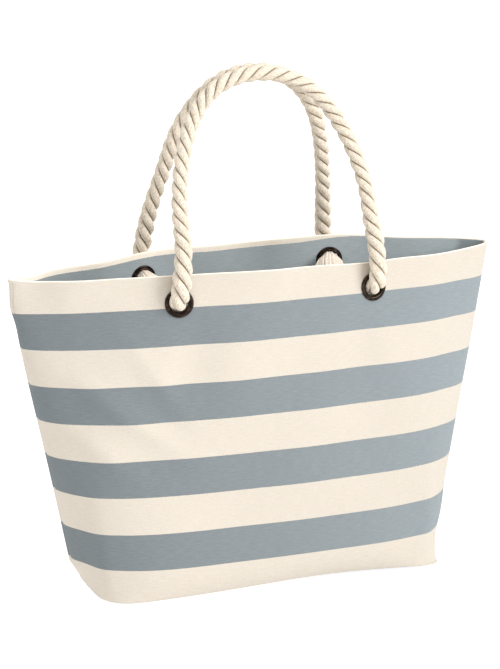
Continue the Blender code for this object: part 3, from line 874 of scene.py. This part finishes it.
def sway(depth, end, run):
    """Small sideways bend of a leg above its eyelet."""
    if depth == "back":
        return (0.0032 * np.exp(-(((run - 0.125) / 0.042) ** 2)) if end == "left" else 0.0) + 0.0 * run
    if end == "left":
        return 0.0042 * np.exp(-(((run - 0.055) / 0.035) ** 2))
    return -0.0030 * np.exp(-(((run - 0.075) / 0.030) ** 2)) - 0.0012 * np.exp(-(((run - 0.020) / 0.020) ** 2))


def handle_line(depth):
    """The whole rope from inside the left eyelet over the arch to inside the right one."""
    side, leg = (-1, FRONT_LEG) if depth == "front" else (1, BACK_LEG)
    half = handle_half(leg, side)
    run = np.concatenate([[0.0], np.cumsum(np.linalg.norm(np.diff(half, axis=0), axis=1))])
    cut = int(np.searchsorted(run, LEG_START))
    halves = []
    for end, sign in (("left", -1), ("right", 1)):
        matrix = EYELETS[depth, end]
        leg_line = half[cut:] * np.array((sign, 1, 1))
        leg_line[:, 0] += sway(depth, end, run[cut:])
        heading = unit(leg_line[1] - leg_line[0])
        aside = -0.0012 if (depth, end) == ("front", "left") else 0.0
        start = local(matrix, aside, 0.0008, -0.0030)
        out = local(matrix, aside, 0.0004, 0.0135)
        turn = bezier(start, out, leg_line[0] - heading * 0.019, leg_line[0], 40)
        inside = np.array([local(matrix, aside, 0.0008 - 0.002 * (1 - k), -0.0150 + 0.0120 * k) for k in (0.0, 0.5)])
        halves.append(np.concatenate([inside, turn[:-1], leg_line]))
    line = np.concatenate([halves[0], halves[1][::-1][1:]])
    return even(line, 0.0018)


def handle(depth):
    line = handle_line(depth)
    run = np.concatenate([[0.0], np.cumsum(np.linalg.norm(np.diff(line, axis=0), axis=1))])
    foot = np.clip((0.130 - np.minimum(run, run[-1] - run)) / 0.07, 0, 1)
    neck = np.clip((0.034 - np.minimum(run, run[-1] - run)) / 0.016, 0, 1)
    loose = 0.10 * np.exp(-(((run - 0.041) / 0.016) ** 2)) if depth == "front" else 0.0
    radius = ROPE_R * (0.955 + 0.115 * foot * foot * (3 - 2 * foot) - 0.035 * neck + loose)
    obj = rope_object(f"{depth}_rope_handle", [rope_mesh(line, radius, *((LAY, 0.085) if depth == "front" else (0.0468, 3.25)))])
    side = -1 if depth == "front" else 1
    leg = handle_half(FRONT_LEG if depth == "front" else BACK_LEG, side)
    run = np.concatenate([[0.0], np.cumsum(np.linalg.norm(np.diff(leg, axis=0), axis=1))])
    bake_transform(obj)
    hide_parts(f"{depth}_handle_rope")
    return obj


for depth in ("front", "back"):
    handle(depth)


def knot(depth, end):
    """Rope end behind an eyelet: it turns down, is wrapped once and ends in a loose tail."""
    matrix = EYELETS[depth, end]

    def place(points):
        return np.array([local(matrix, *p) for p in points])

    right = np.array(matrix.to_3x3() @ Vector((1, 0, 0)))
    lean = {("back", "left"): -0.0014, ("back", "right"): 0.0028}.get((depth, end), 0.0)
    hood = even(
        place(bezier(np.array((0, 0.0004, -0.0040)), np.array((lean, 0.0016, -0.0205)), np.array((lean, -0.0060, -0.0222)), np.array((lean, -0.0350, -0.0222)), 60)),
        0.0014,
    )
    s = np.linspace(0, 1, len(hood))
    full = smooth((s - 0.045) / 0.24)
    hood_piece = rope_mesh(
        hood, 0.0098 - 0.0004 * full, lay=0.9, phase=0.4, flat=1 + 0.72 * full, flat_axis=right, ring=TUFT
    )
    ring = []
    for k in range(73):
        a = 2 * math.pi * k / 72 * 1.04
        ring.append((0.0128 * math.sin(a), -0.0330 + 0.0035 * math.sin(a + 0.5) + 0.003 * k / 72, -0.0226 + 0.0092 * math.cos(a)))
    wrap = even(place(ring), 0.0018)
    wrap_piece = rope_mesh(wrap, np.full(len(wrap), 0.0058), lay=0.042, phase=1.2)
    tail = even(
        place(bezier(np.array((0, -0.030, -0.0222)), np.array((0.001, -0.046, -0.0225)), np.array((-0.001, -0.058, -0.0215)), np.array((0.0005, -0.074, -0.0205)), 40)),
        0.0018,
    )
    s = np.linspace(0, 1, len(tail))
    tail_piece = rope_mesh(tail, 0.0086 + 0.0030 * s**2, lay=0.9, phase=2.0, flat=1.15 + 0.15 * s, flat_axis=right, ring=TUFT)
    obj = rope_object(f"{depth}_{end}_knotted_end", [hood_piece, wrap_piece, tail_piece], knot_rope_painted_lighter)
    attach(obj, "bag")
    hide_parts(f"{depth}_{end}_rope_knot")
    return obj


for depth in ("front", "back"):
    for end in ("left", "right"):
        knot(depth, end)


# ------------------------------------------------------------------ seam tapes
def tape_strip(name, node, line, wide, thick, half_width, half_thick):
    """Tape folded over a seam's cut edges, with a row of stitches on both faces."""
    ring = []
    for k in range(20):
        a = 2 * math.pi * k / 20
        c, s = math.cos(a), math.sin(a)
        ring.append((math.copysign(abs(c) ** 0.30, c), math.copysign(abs(s) ** 0.55, s)))
    ring = np.array(ring)
    line = even(np.asarray(line, dtype=float), 0.003)
    count, around = len(line), len(ring)
    run = np.concatenate([[0.0], np.cumsum(np.linalg.norm(np.diff(line, axis=0), axis=1))])
    points = []
    for k in range(count):
        wave = 0.00022 * math.sin(run[k] * 150) + 0.00015 * math.sin(run[k] * 347 + 1)
        width = half_width * (1 + 0.025 * math.sin(run[k] * 210 + 0.4))
        points.append(line[k] + thick * wave + np.outer(ring[:, 0] * width, wide) + np.outer(ring[:, 1] * half_thick, thick))
    points = np.concatenate(points)
    faces, uvs = [], []
    reach = 2 * (half_width + half_thick) * 2
    for k in range(count - 1):
        for i in range(around):
            j = (i + 1) % around
            a, b = k * around + i, k * around + j
            faces.append((a, b, b + around, a + around))
            ua, ub = reach * i / around, reach * (i + 1) / around
            uvs += [(ua, run[k]), (ub, run[k]), (ub, run[k + 1]), (ua, run[k + 1])]
    for start, order in ((0, -1), ((count - 1) * around, 1)):
        faces.append(tuple(start + i for i in range(around))[::order])
        uvs += [(0.0, 0.0)] * around
    obj = make(name, points, faces, tape, uvs, smooth_angle=60)
    heading = unit(np.gradient(line, axis=0))
    at = np.arange(0.004, run[-1] - 0.004, 0.0034)
    place = np.stack([np.interp(at, run, line[:, k]) for k in range(3)], 1)
    facing = np.stack([np.interp(at, run, heading[:, k]) for k in range(3)], 1)
    lift = 0.00022 * np.sin(at * 150) + 0.00015 * np.sin(at * 347 + 1)
    places = np.concatenate(
        [place + thick * (lift[:, None] + half_thick * sign) - wide * half_width * 0.45 for sign in (-1, 1)]
    )
    thread = stitches(f"{name}_stitching", places, np.concatenate([facing, facing]), cream_thread)
    for piece in (obj, thread):
        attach(piece, "bag")
    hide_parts(node)


X, Y, Z = np.eye(3)
for end, sign in (("left", -1), ("right", 1)):
    line = []
    for k in range(41):
        z = 0.030 + (0.292 - 0.030) * k / 40
        x = section(z / SEAM_HEIGHT)[0] - 0.0016 - 0.0009 - BINDING_WIDTH / 2
        if end == "left":
            x += float(left_bulge(HEIGHT - z))
        line.append((sign * x, 0.0, z))
    tape_strip(f"{end}_seam_tape", f"{end}_seam_binding", line, sign * X, Y, BINDING_WIDTH / 2, BINDING / 2)
    level = 0.0016 + 0.0004 + BINDING / 2
    tape_strip(
        f"{end}_corner_tape", f"{end}_corner_binding",
        [(sign * 0.174, -0.038, level), (sign * 0.174, 0.038, level)], sign * X, Z, BINDING_WIDTH / 2, BINDING / 2,
    )
tape_strip(
    "base_seam_tape", "base_seam_binding", [(-0.164, 0, level), (0.164, 0, level)], Y, Z, BINDING_WIDTH / 2, BINDING / 2
)


# ------------------------------------------------------------------ stage, light, camera
floor_mat, floor_tree, floor_shader = new_material("pale_floor", (0.9, 0.9, 0.9), 0.9, 0.0, 0.1)
floor_shader.inputs["Base Color"].default_value = (0.45, 0.45, 0.45, 1)
floor_shader.inputs["Emission Color"].default_value = (1, 1, 1, 1)
floor_shader.inputs["Emission Strength"].default_value = 0.80
mesh = bpy.data.meshes.new("floor")
mesh.from_pydata([(-9, -9, -0.0004), (9, -9, -0.0004), (9, 9, -0.0004), (-9, 9, -0.0004)], [], [(0, 1, 2, 3)])
mesh.materials.append(floor_mat)
floor = bpy.data.objects.new("floor", mesh)
bpy.context.scene.collection.objects.link(floor)

scene = bpy.context.scene
world = bpy.data.worlds.new("studio")
world.use_nodes = True
sky_tree = world.node_tree
sky = sky_tree.nodes["Background"]
way = add(sky_tree, "ShaderNodeSeparateXYZ", {0: add(sky_tree, "ShaderNodeTexCoord").outputs["Generated"]})
glow = calc(sky_tree, "MULTIPLY_ADD", calc(sky_tree, "MAXIMUM", way.outputs[2], 0.0), 1.08, 0.44)
glow = calc(sky_tree, "MULTIPLY_ADD", way.outputs[0], 0.04, glow)
glow = calc(sky_tree, "MULTIPLY_ADD", way.outputs[1], -0.05, glow)
sky_tree.links.new(calc(sky_tree, "MAXIMUM", glow, 0.05), sky.inputs[1])
sky.inputs[0].default_value = (1.0, 1.0, 1.0, 1)
scene.world = world
scene.view_settings.view_transform = "Standard"
scene.view_settings.look = "None"


def softbox(name, place, target, size, watts, colour=(1, 1, 1)):
    light = bpy.data.lights.new(name, "AREA")
    light.shape = "RECTANGLE"
    light.size, light.size_y = size
    light.energy = watts
    light.color = colour
    obj = bpy.data.objects.new(name, light)
    obj.location = place
    obj.rotation_euler = (Vector(target) - Vector(place)).to_track_quat("-Z", "Y").to_euler()
    scene.collection.objects.link(obj)


softbox("key", (1.70, -2.10, 1.55), (0, 0, 0.25), (1.5, 1.5), 61)

azimuth, elevation = math.radians(-20.53), math.radians(15.55)
back = Vector((math.sin(azimuth) * math.cos(elevation), -math.cos(azimuth) * math.cos(elevation), math.sin(elevation)))
right = Vector((math.cos(azimuth), math.sin(azimuth), 0))
up = back.cross(right)
focal, centre = 2320.3, Vector((0, 0, 0.207))
place = centre + back * 2.52
aim = (-back + right * ((250 - 256.54) / focal) + up * ((384.74 - 334.5) / focal)).normalized()
right = aim.cross(Vector((0, 0, 1))).normalized()
up = right.cross(aim)
lens = bpy.data.cameras.new("camera")
lens.sensor_width = 36
lens.lens = focal / 669 * 36
lens.clip_end = 50
camera = bpy.data.objects.new("camera", lens)
camera.matrix_world = Matrix.Translation(place) @ Matrix((right, up, -aim)).transposed().to_4x4()
scene.collection.objects.link(camera)
scene.camera = camera

bpy.context.view_layer.update()
